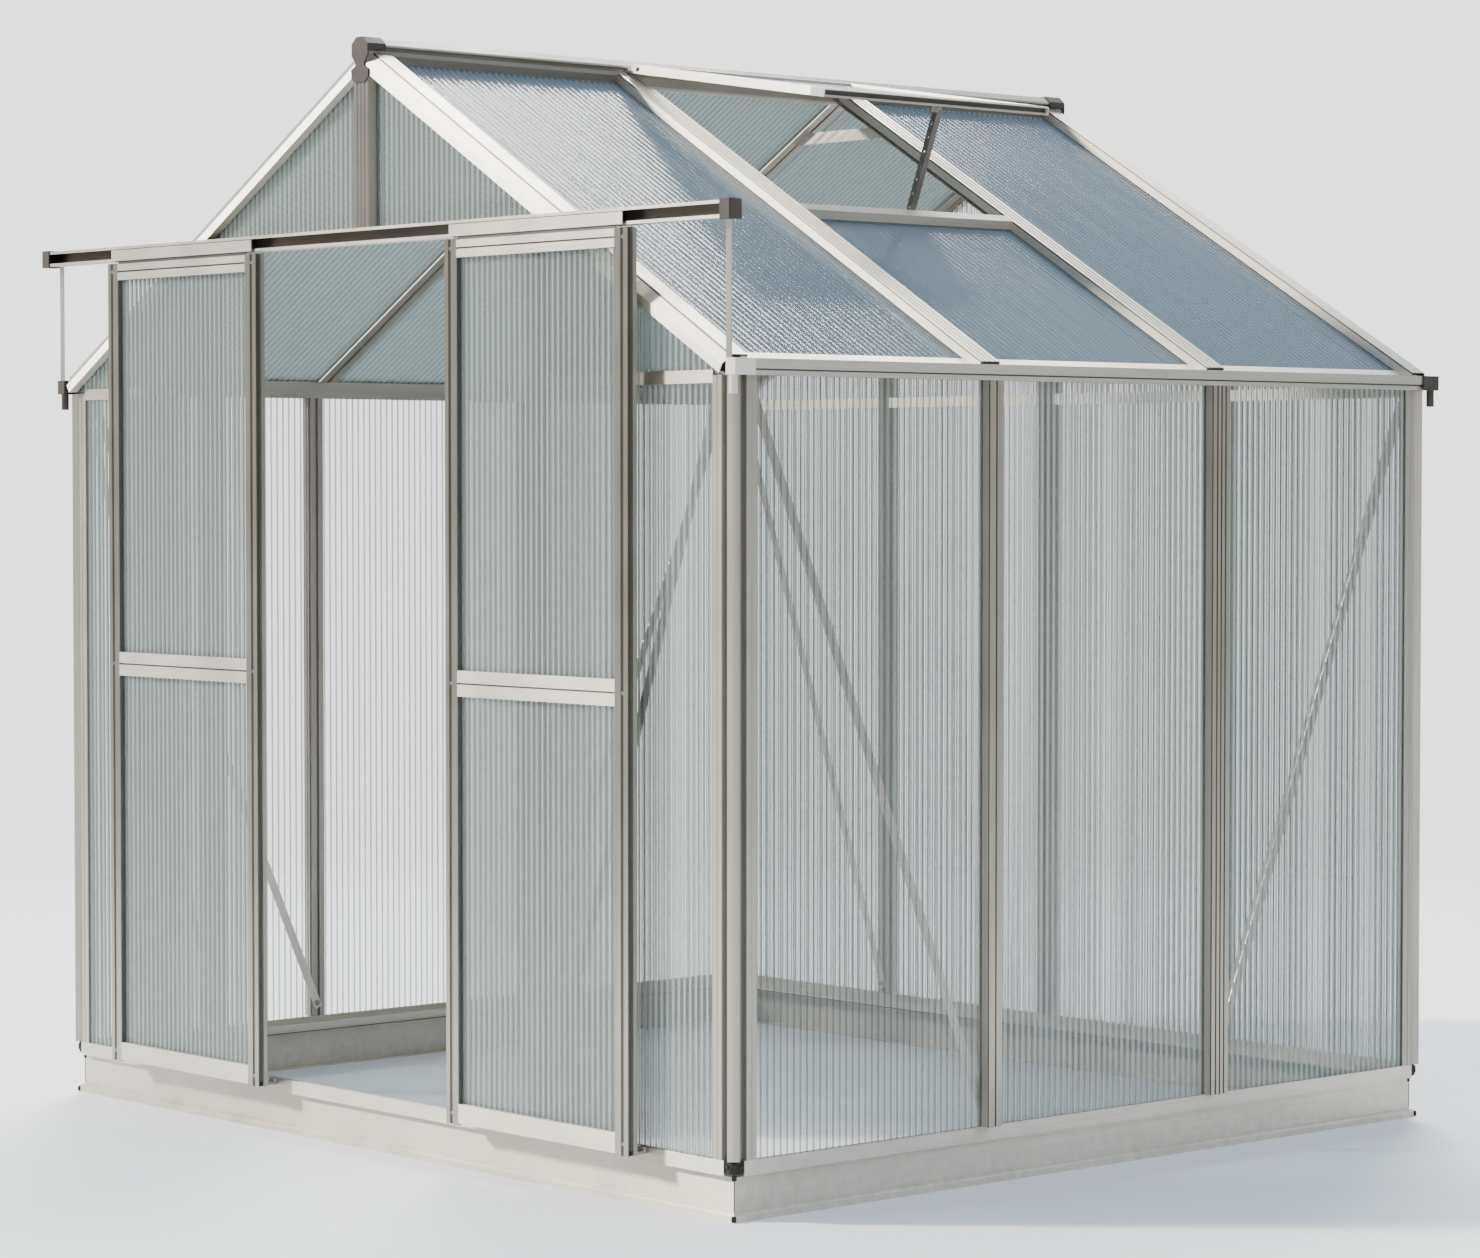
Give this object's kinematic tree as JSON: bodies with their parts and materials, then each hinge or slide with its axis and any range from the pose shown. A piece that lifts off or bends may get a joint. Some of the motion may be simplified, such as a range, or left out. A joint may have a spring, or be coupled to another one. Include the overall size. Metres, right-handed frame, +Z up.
{
  "type": "greenhouse",
  "caption": "Aluminium-framed greenhouse with a pitched roof, ribbed clear sheets, double sliding doors on a top track and a hinged roof vent on a stay",
  "frame": {"origin": "On the ground, under the middle of the overall box in plan. The house's own middle is 14.25 mm behind it, because the doors and their track stand out in front.", "axes": "X runs along the front gable to the viewer's right, Y from the front with the doors to the rear, Z up. Metres."},
  "size_m": [2.2766, 2.0034, 2.222],
  "materials": {
    "aluminium": "silver-grey satin extrusion",
    "clear_sheet": "clear ribbed twin-wall sheet",
    "brown_plastic": "dark moulded plastic",
    "black_plastic": "black moulded plastic",
    "pale_plastic": "pale moulded plastic"
  },
  "bodies": {
    "frame": {"base_sides": "aluminium", "base_ends": "aluminium", "side_sills": "aluminium", "sill_front": "aluminium", "sill_rear": "aluminium", "base_corner_joiners": "black_plastic", "rear_corner_posts": "aluminium", "front_corner_posts": "aluminium", "right_wall_bars": "aluminium", "left_wall_bars": "aluminium", "door_posts": "aluminium", "rear_wall_posts": "aluminium", "front_gable_post": "aluminium", "front_gable_rails": "aluminium", "rear_gable_rails": "aluminium", "door_header": "aluminium", "door_track": "aluminium", "track_end_caps": "brown_plastic", "track_struts": "aluminium", "gutter_left": "aluminium", "gutter_right": "aluminium", "gutter_end_caps": "brown_plastic", "ridge_bar": "aluminium", "ridge_end_caps": "brown_plastic", "front_gable_rafters": "aluminium", "rear_gable_rafters": "aluminium", "roof_rafters": "aluminium", "rafter_foot_caps": "black_plastic", "collar_ties": "aluminium", "wall_braces": "aluminium", "right_wall_sheets": "clear_sheet", "left_wall_sheets": "clear_sheet", "front_wall_sheets": "clear_sheet", "front_gable_sheets": "clear_sheet", "rear_wall_sheets": "clear_sheet", "rear_gable_sheets": "clear_sheet", "right_roof_sheets": "clear_sheet", "left_roof_sheets": "clear_sheet", "vent_sill": "aluminium", "stay_guide": "aluminium"},
    "vent": {"vent_top_rail": "aluminium", "vent_bottom_rail": "aluminium", "vent_rail_caps": "pale_plastic", "vent_side_rails": "aluminium", "vent_sheet_panel": "clear_sheet"},
    "stay": {"vent_stay": "aluminium"},
    "left_door": {"left_door_stiles": "aluminium", "left_door_top_rail": "aluminium", "left_door_cross_rails": "aluminium", "left_door_sheets": "clear_sheet", "left_door_guides": "brown_plastic"},
    "right_door": {"right_door_stiles": "aluminium", "right_door_top_rail": "aluminium", "right_door_cross_rails": "aluminium", "right_door_sheets": "clear_sheet", "right_door_guides": "brown_plastic"},
    "left_outer_wheel": {"left_outer_roller": "pale_plastic"},
    "left_inner_wheel": {"left_inner_roller": "pale_plastic"},
    "right_outer_wheel": {"right_outer_roller": "pale_plastic"},
    "right_inner_wheel": {"right_inner_roller": "pale_plastic"}
  },
  "joints": [
    {"name": "left_door_slide", "type": "slide", "parent": "frame", "child": "left_door", "axis": [-1, 0, 0], "range_m": [-0.322, 0.234]},
    {"name": "right_door_slide", "type": "slide", "parent": "frame", "child": "right_door", "axis": [1, 0, 0], "range_m": [-0.312, 0.244]},
    {"name": "left_outer_roller_turn", "type": "hinge", "parent": "left_door", "child": "left_outer_wheel", "pos_m": [-0.8105, -0.98775, 1.8238], "axis": [0, -1, 0], "continuous": true},
    {"name": "left_inner_roller_turn", "type": "hinge", "parent": "left_door", "child": "left_inner_wheel", "pos_m": [-0.3825, -0.98775, 1.8238], "axis": [0, -1, 0], "continuous": true},
    {"name": "right_outer_roller_turn", "type": "hinge", "parent": "right_door", "child": "right_outer_wheel", "pos_m": [0.3725, -0.98775, 1.8238], "axis": [0, 1, 0], "continuous": true},
    {"name": "right_inner_roller_turn", "type": "hinge", "parent": "right_door", "child": "right_inner_wheel", "pos_m": [0.8005, -0.98775, 1.8238], "axis": [0, 1, 0], "continuous": true},
    {"name": "vent_hinge", "type": "hinge", "parent": "frame", "child": "vent", "pos_m": [0.0203, 0.01425, 2.198], "axis": [0, -1, 0], "range_deg": [-21.4, 10.6]},
    {"name": "vent_stay_hinge", "type": "hinge", "parent": "vent", "child": "stay", "pos_m": [0.58394, 0.0502, 2.09981], "axis": [0, -1, 0], "range_deg": [-6.4, 12.9]}
  ],
  "couplings": [
    {"joint": "left_outer_roller_turn", "follows": "left_door_slide", "rad_per_m": 90.909},
    {"joint": "left_inner_roller_turn", "follows": "left_door_slide", "rad_per_m": 90.909},
    {"joint": "right_outer_roller_turn", "follows": "right_door_slide", "rad_per_m": 90.909},
    {"joint": "right_inner_roller_turn", "follows": "right_door_slide", "rad_per_m": 90.909},
    {"joint": "vent_stay_hinge", "follows": "vent_hinge", "ratio": -0.6}
  ]
}
